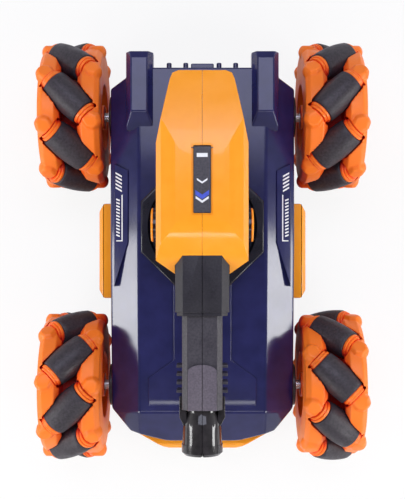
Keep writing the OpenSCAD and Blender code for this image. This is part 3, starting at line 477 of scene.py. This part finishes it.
easedPieces = [  # rounds: radius, shortest edge, least angle and, for some, a test
    {"node": "chassis_tub", "name": "chassisTub", "body": "chassis", "slot": "black_plastic",
     "paint": "black", "segments": 2, "rounds": [(0.7 * mm, 8 * mm, 25)]},
    {"node": "front_bumper", "name": "frontBumper", "body": "chassis", "slot": "gun_orange",
     "paint": "gunOrange", "segments": 3, "rounds": [(0.8 * mm, 3 * mm, 12)]},
    {"node": "side_bumpers", "name": "sideBumpers", "body": "chassis", "slot": "gun_orange",
     "paint": "gunOrange", "segments": 3, "rounds": [(1.0 * mm, 2 * mm, 12)]},
    {"node": "gearbox_housings", "name": "gearboxNoses", "body": "chassis", "slot": "black_plastic",
     "paint": "black", "segments": 2, "rounds": [(0.6 * mm, 1.5 * mm, 40)]},
    {"node": "turret_ring", "name": "turretRing", "body": "chassis", "slot": "black_plastic",
     "paint": "gloss", "segments": 3, "rounds": [(1.3 * mm, 20 * mm, 25)]},
    {"node": "turret_yoke", "name": "turretYoke", "body": "turret", "slot": "black_plastic",
     "paint": "gloss", "segments": 3, "rounds": [(0.5 * mm, 6 * mm, 30), (2.4 * mm, 0, 30, tableRim)]},
    {"node": "gun_barrel", "name": "gunBarrel", "body": "gun", "slot": "barrel_plastic",
     "paint": "barrel", "segments": 3, "rounds": [(0.35 * mm, 1.5 * mm, 20, offSeam)]},
    {"node": "hopper_hatch", "name": "hopperHatch", "body": "hatch", "slot": "barrel_plastic",
     "paint": "barrel", "segments": 2, "rounds": [(0.3 * mm, 3 * mm, 30)]},
    {"node": "battery_door", "name": "batteryDoor", "body": "battery_door", "slot": "black_plastic",
     "paint": "black", "segments": 2, "rounds": [(0.4 * mm, 3 * mm, 30)]},
    {"node": "power_switch", "name": "powerSwitch", "body": "power_switch", "slot": "switch_red",
     "paint": "red", "segments": 2, "rounds": [(0.2 * mm, 0.7 * mm, 30)]},
]
mouldings = {look["name"]: eased(look) for look in easedPieces}
print("mouldings eased")


# piston spring: a steel copy of its solid, carried with the gun (in the toy it is pressed against the
# breech as the piston is drawn back)

spring = cadCopy("piston_spring", "pistonSpring")
polished(spring, "steel")
settle(spring, "gun", "steel", "piston_spring")
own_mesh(spring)


# body shell, drawn as a block, shaved to its slopes and hollowed

bodyLook = {
    "outline": [(44, 114.8), (48.7, 108.9), (58.5, 102.9), (58.5, -101.3), (46.8, -116.9),
                (42.6, -118.2), (24.6, -123.4), (20.6, -123.8)],
    "rim": 49, "rimGap": 0.4, "top": 96, "deckHalf": 40, "half": 58.5, "sideDrop": 11,
    "ridge": [(130, 84), (0, 84), (-103, 74), (-123.8, 58), (-130, 53.2)],
    "round": (1.3, 4, 9), "wall": 1.4, "ringHalf": 38.5, "ringY": 15, "hole": (60, 100),
}
podLook = {
    "outline": [(30.8, 75.4), (47.8, 75.4), (47.8, 123.8), (30.8, 123.8)], "low": 75, "high": 94,
    "ridge": [(123.8, 75), (123.8, 89.4), (119.6, 91), (85.4, 91), (75.4, 82), (70, 77.5)],
    "waist": 84, "top": 91, "lean": 3.4, "round": (0.9, 4, 9),
}
panelLook = {
    "outline": [(55.9, 55), (46.7, 50.6), (46.7, 5), (55.9, -23)], "low": 70, "high": 90,
    "start": (40, 84), "fall": 0.46486, "round": (0.55, 3, 9),
}
spineLook = {
    "outline": [(34.2, -99), (34.2, -80.6), (18.2, -69), (18.2, -18)], "low": 66, "high": 92,
    "ridge": [(10, 85.87), (-94, 75.6), (-99, 74.4), (-110, 71.8)], "round": (0.6, 3, 9),
}
pegLook = {
    "radius": 1.6, "spots": (-21, -10.5, 10.5, 21), "level": 78, "from": 112, "to": 118.5,
    "soft": 0.4, "steps": 24,
}
tabLook = {"half": 7.2, "from": 112, "to": 117.8, "low": 75, "high": 81, "round": (0.8, 3, 9)}


def bodyBlock(look):
    body = slab("bodyShell", bothSides(look["outline"]), look["rim"], look["top"])
    shaveChain(body, look["ridge"])
    half, edge, drop = look["deckHalf"], look["half"], look["sideDrop"]
    for (y0, z0), (y1, z1) in zip(look["ridge"], look["ridge"][1:-1]):
        inner, outer, ahead = (half, y0, z0), (edge, y0, z0 - drop), (half, y1, z1)
        shaveBoth(body, inner, slope(inner, outer, ahead))
    rim = (look["rim"] + look["rimGap"]) * mm
    roundEdges(body, *look["round"], lambda edge: max(v.co.z for v in edge.verts) > rim)
    openMesh(body, "FACE")
    chosen(body, "FACE", lambda face: face.normal.z < -0.9 and face.calc_center_median().z < rim)
    bpy.ops.mesh.delete(type="FACE")
    closeMesh()
    addModifier(body, "SOLIDIFY", thickness=look["wall"] * mm, offset=-1)
    cut = look["ringHalf"]
    flat = cut * math.tan(math.pi / 8)
    octagon = bothSides([(flat, cut), (cut, flat), (cut, -flat), (flat, -cut)])
    cutBy(body, slab("ringHole", [(x, y + look["ringY"]) for x, y in octagon], *look["hole"]))
    return body


def podBlock(look):
    pod = slab("pod", look["outline"], look["low"], look["high"])
    shaveChain(pod, look["ridge"])
    (inner, _), (outer, _) = look["outline"][0], look["outline"][1]
    rise = look["top"] - look["waist"]
    shave(pod, (outer, 0, look["waist"]), (rise, 0, look["lean"]))
    shave(pod, (inner, 0, look["waist"]), (-rise, 0, look["lean"]))
    roundEdges(pod, *look["round"])
    return pod


def panelBlock(look):
    panel = slab("panel", look["outline"], look["low"], look["high"])
    x, z = look["start"]
    shave(panel, (x, 0, z), (look["fall"], 0, 1))
    roundEdges(panel, *look["round"])
    return panel


def spineBlock(look):
    spine = slab("spine", bothSides(look["outline"]), look["low"], look["high"])
    shaveChain(spine, look["ridge"])
    roundEdges(spine, *look["round"])
    return spine


def pegBlock(look):
    soft = look["soft"]
    reach = look["to"] - look["from"]
    line = [(0, 0), (look["radius"], 0), (look["radius"], reach - soft),
            (look["radius"] - soft, reach), (0, reach)]
    first = turned("peg", [(r * mm, h * mm) for r, h in line], look["steps"])
    pegs = []
    for x in look["spots"]:
        peg = first.copy()
        peg.data = first.data.copy()
        bpy.context.scene.collection.objects.link(peg)
        peg.matrix_world = (Matrix.Translation(Vector((x, look["from"], look["level"])) * mm)
                            @ Matrix.Rotation(math.radians(-90), 4, "X"))
        pick(peg)
        bpy.ops.object.transform_apply(location=True, rotation=True, scale=True)
        pegs.append(peg)
    bpy.data.objects.remove(first)
    return pegs


def tabBlock(look):
    half = look["half"]
    ends = [(half, look["from"]), (half, look["to"]), (-half, look["to"]), (-half, look["from"])]
    tab = slab("tab", ends, look["low"], look["high"])
    roundEdges(tab, *look["round"])
    return tab


body = bodyBlock(bodyLook)
pair = joined(podBlock(podLook), panelBlock(panelLook))
addModifier(pair, "MIRROR", use_axis=(True, False, False), use_mirror_merge=False)
joined(body, pair, spineBlock(spineLook), tabBlock(tabLook), *pegBlock(pegLook))
polished(body, "indigo")
settle(body, "chassis", "navy_shell", "body_shell")
print("body shell", len(body.data.polygons), "faces")


# gun shell: two moulded halves with the hatch opening and the mouth for the barrel's collar

gunLook = {
    "outline": [(13.7, 104.3), (17.2, 102.8), (18.7, 99.3), (26.7, 62), (26.7, -6), (15.7, -14)],
    "low": 98, "high": 150,
    "ridge": [(105.3, 132), (62, 143, 8), (13, 143, 7), (-3.5, 136, 4), (-15, 126)],
    "keel": [(-15, 107), (-3, 102), (23, 102), (105.3, 116)],
    "shoulder": [(26.7, 135), (23.7, 139.4), (18.7, 141.57), (15.4, 142.6), (11.8, 143)],
    "belly": [(19.7, 102), (26.7, 109)], "round": (1.5, 4, 8), "wall": 1.8,
    "frame": (6.25, 19.9, 61.0, 142.5, 150), "frameRound": (1.2, 4, 30),
    "opening": (5.1, 21.05, 59.85, 132, 150), "openingRound": (0.8, 4, 30),
    "mouth": (15.95, 11.45, 120, 10, 40), "shelf": (25.5, 17.3, 63.6, 129.6, 131.1),
    "seam": (0.09, -30, 120, 90, 160),
}
capLook = {
    "at": (15, 120), "radius": 10, "from": 28.8, "to": 30, "pin": 5, "pinFrom": 25,
    "soft": 0.5, "lip": 0.2, "edge": 2.2, "dish": 0.4, "steps": 48,
}


def box(name, half, y0, y1, low, high):
    return slab(name, [(half, y0), (half, y1), (-half, y1), (-half, y0)], low, high)


def roundBox(name, size, corner):  # upright box with rounded corners
    piece = box(name, *size)
    roundEdges(piece, *corner, lambda edge: abs(edge.verts[0].co.z - edge.verts[1].co.z) > mm)
    return piece


def gunForm(name, look, inset=0):
    form = slab(name, bothSides(look["outline"]), look["low"], look["high"])
    if inset:
        shaveOutline(form, look["outline"], inset)
    shaveChain(form, bowed(look["ridge"]), inset)
    shaveChain(form, look["keel"], inset)
    shaveSection(form, look["shoulder"], inset)
    shaveSection(form, look["belly"], inset)
    return form


def gunBlock(look):
    gun = gunForm("gunShell", look)
    roundEdges(gun, *look["round"])
    cutBy(gun, gunForm("gunHollow", look, look["wall"]))
    cutBy(gun, roundBox("frameCut", look["frame"], look["frameRound"]))
    cutBy(gun, roundBox("openingCut", look["opening"], look["openingRound"]))
    out, flat, level, back, deep = look["mouth"]
    octagon = bothSides([(flat, out), (out, flat), (out, -flat), (flat, -out)])
    cutBy(gun, block("mouthCut", [(x, back, level + z) for x, z in octagon], (0, -deep, 0)))
    addTo(gun, box("shelf", *look["shelf"]))
    cutBy(gun, box("seamCut", *look["seam"]))
    return gun


def capBlock(look):
    soft, lip, dish = look["soft"], look["lip"], look["dish"]
    r, pin, inner = look["radius"], look["pin"], look["radius"] - look["edge"]
    a, b = look["from"], look["to"]
    line = [(0, look["pinFrom"]), (pin, look["pinFrom"]), (pin, a), (r - lip, a), (r, a + lip),
            (r, b - soft), (r - soft, b), (inner, b), (inner - dish, b - dish), (0, b - dish)]
    cap = turned("trunnionCap", [(radius * mm, height * mm) for radius, height in line], look["steps"])
    y, z = look["at"]
    cap.matrix_world = (Matrix.Translation(Vector((0, y, z)) * mm)
                        @ Matrix.Rotation(math.radians(90), 4, "Y"))
    pick(cap)
    bpy.ops.object.transform_apply(location=True, rotation=True, scale=True)
    addModifier(cap, "MIRROR", use_axis=(True, False, False), use_mirror_merge=False)
    return cap


gun = joined(gunBlock(gunLook), capBlock(capLook))
polished(gun, "gunOrange")
settle(gun, "gun", "gun_orange", "gun_shell")
print("gun shell", len(gun.data.polygons), "faces")


# the barrel's slit, and its finishes from breech to muzzle

barrelLook = {
    "slit": (0.17, -124, 4, 126.4, 140), "collarFront": -38.2,
    "plateHalf": 8.6, "plateTop": 132.6, "plateFrom": -93.2, "plateTo": -66, "nozzle": -92.95,
    "wing": 12.2, "wingRear": -85, "wingFront": -103,
}


def barrelRegions(look):
    def collar(spot):
        return spot.y > look["collarFront"] * mm

    def plate(spot):
        inside = look["plateFrom"] * mm < spot.y < look["plateTo"] * mm
        return inside and abs(spot.x) < look["plateHalf"] * mm and spot.z > look["plateTop"] * mm

    def muzzle(spot):
        wing = abs(spot.x) > look["wing"] * mm and look["wingFront"] < spot.y / mm < look["wingRear"]
        return spot.y < look["nozzle"] * mm or wing
    return (("collar", collar), ("plate", plate), ("smoke", muzzle))


barrel = mouldings["gunBarrel"]
cutBy(barrel, box("slitCut", *barrelLook["slit"]))
for paint, inRegion in barrelRegions(barrelLook):
    barrel.data.materials.append(finish[paint])
    openMesh(barrel, "FACE")
    chosen(barrel, "FACE", lambda face: inRegion(face.calc_center_median()))
    barrel.active_material_index = len(barrel.data.materials) - 1
    bpy.ops.object.material_slot_assign()
    closeMesh()
print("barrel finished")


# plain printed marks on the side panels and the hatch

printLook = {
    "thick": 0.12,
    "ticks": {"from": 37.0, "step": 2.3, "count": 5, "inner": 50.8, "outer": 54.9,
              "wide": 1.1, "lean": 2.4},
    "dashes": {"from": 8.6, "step": 2.05, "count": 12, "inner": 52.2, "outer": 54.5,
               "wide": 1.0, "lean": 0.9},
    "rail": [(50.3, 35.4), (51.0, 35.0), (51.0, 6.6), (54.4, 6.6), (54.4, 5.9), (50.3, 5.9)],
}
hatchPrint = {
    "level": 143, "thick": 0.1,
    "white": [[(3.1, 53.0), (3.1, 55.2), (-3.1, 55.2), (-3.1, 53.0)],
              [(3.0, 41.0), (0, 39.0), (-3.0, 41.0), (-3.0, 39.9), (0, 37.9), (3.0, 39.9)],
              [(3.7, 30.8), (0, 28.3), (-3.7, 30.8), (-3.7, 29.4), (0, 26.9), (3.7, 29.4)]],
    "blue": [[(3.9, 34.2), (0, 31.6), (-3.9, 34.2), (-3.9, 31.6), (0, 29.0), (3.9, 31.6)]],
}


def slantedBars(look):
    inner, outer, wide, lean = look["inner"], look["outer"], look["wide"], look["lean"]
    bars = []
    for k in range(look["count"]):
        y = look["from"] + k * look["step"]
        bars.append([(inner, y), (inner, y + wide), (outer, y + wide + lean), (outer, y + lean)])
    return bars


def printed(name, outlines, level, thick, paint):
    marks = [slab(name, outline, level - thick, level + thick) for outline in outlines]
    mark = joined(*marks)
    polished(mark, paint)
    return mark


bars = slantedBars(printLook["ticks"]) + slantedBars(printLook["dashes"]) + [printLook["rail"]]
marks = printed("panelMarks", bars, 0, printLook["thick"], "white")
openMesh(marks)
startX, startZ = panelLook["start"]
for vert in bmesh.from_edit_mesh(marks.data).verts:  # laid on the sloping panel
    vert.co.z += startZ * mm - panelLook["fall"] * (vert.co.x - startX * mm)
bmesh.update_edit_mesh(marks.data)
closeMesh()
addModifier(marks, "MIRROR", use_axis=(True, False, False), use_mirror_merge=False)
settle(marks, "chassis", "piston_white")
for paint, slot in (("white", "piston_white"), ("blue", "battery_wrap")):
    mark = printed("hatchMarks_" + paint, hatchPrint[paint], hatchPrint["level"],
                   hatchPrint["thick"], paint)
    settle(mark, "hatch", slot)
print("marks printed")


# wheel hubs, with the soft edges of a moulding

hubLook = {"voxel": 0.5 * mm, "passes": 5, "strength": 0.5, "keep": 0.3, "smooth": 60}
wheels = [  # name, side, end, turn of the first roller
    ("front_left", 1, -1, -13), ("front_right", -1, -1, -30),
    ("rear_left", 1, 1, -12), ("rear_right", -1, 1, -11),
]
for wheel, *_ in wheels:
    hub = cadCopy("wheel_hub_" + wheel, "hub_" + wheel)
    addModifier(hub, "REMESH", mode="VOXEL", voxel_size=hubLook["voxel"], use_smooth_shade=True)
    addModifier(hub, "SMOOTH", factor=hubLook["strength"], iterations=hubLook["passes"])
    addModifier(hub, "DECIMATE", ratio=hubLook["keep"])
    hub.data.materials.clear()
    hub.data.materials.append(finish["wheelOrange"])
    smoothBy(hub, hubLook["smooth"])
    settle(hub, "wheel_" + wheel, "wheel_orange", "wheel_hub_" + wheel)
    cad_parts["drive_shaft_" + wheel].data.materials[0] = finish["steel"]
    print("hub", wheel, len(hub.data.polygons), "faces")


# rollers, turned once and copied

rollerLook = {
    "ring": 39 * mm, "tilt": 45, "count": 8, "belly": 10 * mm, "crown": 78 * mm,
    "sleeve": 13.6 * mm, "bore": 5.05 * mm, "flange": 8.0 * mm, "flangeWidth": 2.0 * mm,
    "collar": 7.1 * mm, "half": 17.2 * mm, "pin": 2.0 * mm, "pinEnd": 21.8 * mm, "steps": 40,
    "axle": (83.5 * mm, 88 * mm, 49 * mm), "gap": 0.06 * mm, "lip": 0.5 * mm, "lipShare": 0.3,
    "ease": 0.35 * mm, "fillet": 0.1 * mm, "lap": 0.05 * mm, "crownSteps": 6, "smooth": 40,
}


def rollerBlank(look):
    def crownAt(height):
        return look["belly"] - look["crown"] + math.sqrt(look["crown"] ** 2 - height ** 2)
    ends = look["sleeve"] - look["gap"]
    lip = look["lip"]
    turnIn = look["lipShare"] * lip
    steps = look["crownSteps"]
    rubber = [(look["bore"], -ends), (crownAt(ends) - lip, -ends)]
    rubber.append((crownAt(ends) - turnIn, turnIn - ends))
    rubber += [(crownAt(h), h) for h in [(ends - lip) * k / steps for k in range(-steps, steps + 1)]]
    rubber += [(r, -h) for r, h in reversed(rubber[:3])]
    rubber.append(rubber[0])
    sleeve = turned("rollerSleeve", rubber, look["steps"])
    sleeve.data.materials.append(finish["rubber"])
    ease, fillet = look["ease"], look["fillet"]
    flange, collar, pin, tip = look["flange"], look["collar"], look["pin"], look["pinEnd"]
    a, b, c = look["sleeve"], look["sleeve"] + look["flangeWidth"], look["half"]
    end = [
        (look["bore"] - look["lap"], a), (flange - ease, a), (flange, a + ease),
        (flange, b - ease), (flange - ease, b), (collar + fillet, b),
        (collar, b + fillet), (collar, c - ease), (collar - ease, c),
        (pin, c), (pin, tip - ease), (pin - ease, tip), (0, tip)]
    core = turned("rollerCore", [(r, -h) for r, h in reversed(end)] + end, look["steps"])
    core.data.materials.append(finish["wheelOrange"])
    joined(sleeve, core)
    smoothBy(sleeve, look["smooth"])
    return sleeve


blank = rollerBlank(rollerLook)
for wheel, side, end, turn in wheels:
    hand = -side * end
    away = Matrix.Rotation(math.radians(90 * side), 4, "Y")
    axle = Matrix.Translation([v * s for v, s in zip(rollerLook["axle"], (side, end, 1))])
    for k in range(rollerLook["count"]):
        angle = (180 if side > 0 else 0) + side * (turn + k * 360 / rollerLook["count"])
        around = Matrix.Rotation(math.radians(angle), 4, "Z")
        out = Matrix.Translation((rollerLook["ring"], 0, 0))
        lean = Matrix.Rotation(math.radians(-hand * rollerLook["tilt"]), 4, "X")
        name = f"roller_{wheel}_{k + 1}"
        roller = blank.copy()
        roller.data = blank.data.copy()
        roller.name = "grip_" + name
        bpy.context.scene.collection.objects.link(roller)
        roller.matrix_world = axle @ away @ around @ out @ lean
        pick(roller)
        bpy.ops.object.transform_apply(location=True, rotation=True, scale=True)
        settle(roller, name, "roller_rubber", name)
bpy.data.objects.remove(blank)
print("rollers turned")


# floor, light and camera

def lamp(name, size, spot, aim, radiance, tint=(1, 1, 1)):
    light = bpy.data.lights.new(name, "AREA")
    light.shape = "RECTANGLE"
    light.size, light.size_y = size
    light.energy = radiance * math.pi * size[0] * size[1]
    light.color = tint
    holder = bpy.data.objects.new(name, light)
    bpy.context.scene.collection.objects.link(holder)
    holder.location = spot
    holder.rotation_euler = (Vector(aim) - Vector(spot)).to_track_quat("-Z", "Y").to_euler()


studio = {
    "floorSize": 16.0, "pale": (0.9, 0.9, 0.9), "paler": (0.882, 0.882, 0.882), "speck": 30,
    "floorRough": 0.8, "whiteShare": 0.85,
    "sky": [(0.0, (1, 1, 1)), (0.15, (0.75, 0.75, 0.75)), (0.45, (0.4, 0.4, 0.4)),
            (1.0, (0.15, 0.15, 0.16))],
    "lamps": [
        ("boxLeft", (0.22, 0.2), (0.7, -0.13, 0.375), (0, -0.05, 0.07), 13.5),
        ("boxRight", (0.22, 0.2), (-0.7, -0.13, 0.375), (0, -0.05, 0.07), 13.5),
        ("panelRear", (0.9, 0.5), (0, 0.4, 1.0), (0, 0, 0.08), 3.6, (0.78, 0.8, 1.0)),
        ("stripFront", (0.5, 0.12), (0, -0.6, 0.97), (0, 0, 0.1), 5),
        ("cornerLeft", (0.26, 0.2), (0.55, -0.6, 0.46), (0, 0, 0.08), 11),
        ("cornerRight", (0.26, 0.2), (-0.55, -0.6, 0.46), (0, 0, 0.08), 11),
    ],
}
bpy.ops.mesh.primitive_plane_add(size=studio["floorSize"])
floor = bpy.context.object
floor.name = "floor"


def whiteSheet():  # pale floor that stays white for the camera but keeps the shadow
    paint, nodes, links, shader, place = newPaint("paleFloor")
    cloud = noiseFrom(nodes, links, place, studio["speck"])
    speck = rampFrom(nodes, links, cloud, [(noiseLow, studio["pale"]), (noiseHigh, studio["paler"])])
    links.new(speck, shader.inputs["Base Color"])
    shader.inputs["Roughness"].default_value = studio["floorRough"]
    glow = nodes.new("ShaderNodeEmission")
    rays = nodes.new("ShaderNodeLightPath")
    mix = nodes.new("ShaderNodeMixShader")
    either = nodes.new("ShaderNodeMath")
    either.operation = "MAXIMUM"
    links.new(rays.outputs["Is Camera Ray"], either.inputs[0])
    links.new(rays.outputs["Is Transmission Ray"], either.inputs[1])
    seen = nodes.new("ShaderNodeMath")
    seen.operation = "MULTIPLY"
    seen.inputs[1].default_value = studio["whiteShare"]
    links.new(either.outputs[0], seen.inputs[0])
    links.new(seen.outputs[0], mix.inputs["Fac"])
    links.new(shader.outputs["BSDF"], mix.inputs[1])
    links.new(glow.outputs["Emission"], mix.inputs[2])
    links.new(mix.outputs["Shader"], nodes["Material Output"].inputs["Surface"])
    return paint


floor.data.materials.append(whiteSheet())
for lampLook in studio["lamps"]:
    lamp(*lampLook)

world = bpy.data.worlds.new("studio")  # white at the horizon, dim overhead
bpy.context.scene.world = world
world.use_nodes = True
sky = world.node_tree.nodes
wires = world.node_tree.links
heading = sky.new("ShaderNodeTexCoord")
height = sky.new("ShaderNodeSeparateXYZ")
wires.new(heading.outputs["Generated"], height.inputs["Vector"])
shade = rampFrom(sky, wires, height.outputs["Z"], studio["sky"])
wires.new(shade, sky["Background"].inputs["Color"])

bpy.context.scene.view_settings.view_transform = "Standard"
cameraLook = {
    "spot": (1.2 * mm, -2.7 * mm, 721.5 * mm), "lens": 73.5, "shift": (-0.0036, 0.011),
    "sensor": 36, "nearest": 0.01,
}
camera = bpy.data.objects.new("camera", bpy.data.cameras.new("camera"))
bpy.context.scene.collection.objects.link(camera)
camera.location = cameraLook["spot"]
camera.data.lens = cameraLook["lens"]
camera.data.sensor_width = cameraLook["sensor"]
camera.data.shift_x, camera.data.shift_y = cameraLook["shift"]
camera.data.clip_start = cameraLook["nearest"]
bpy.context.scene.camera = camera
print("studio set")
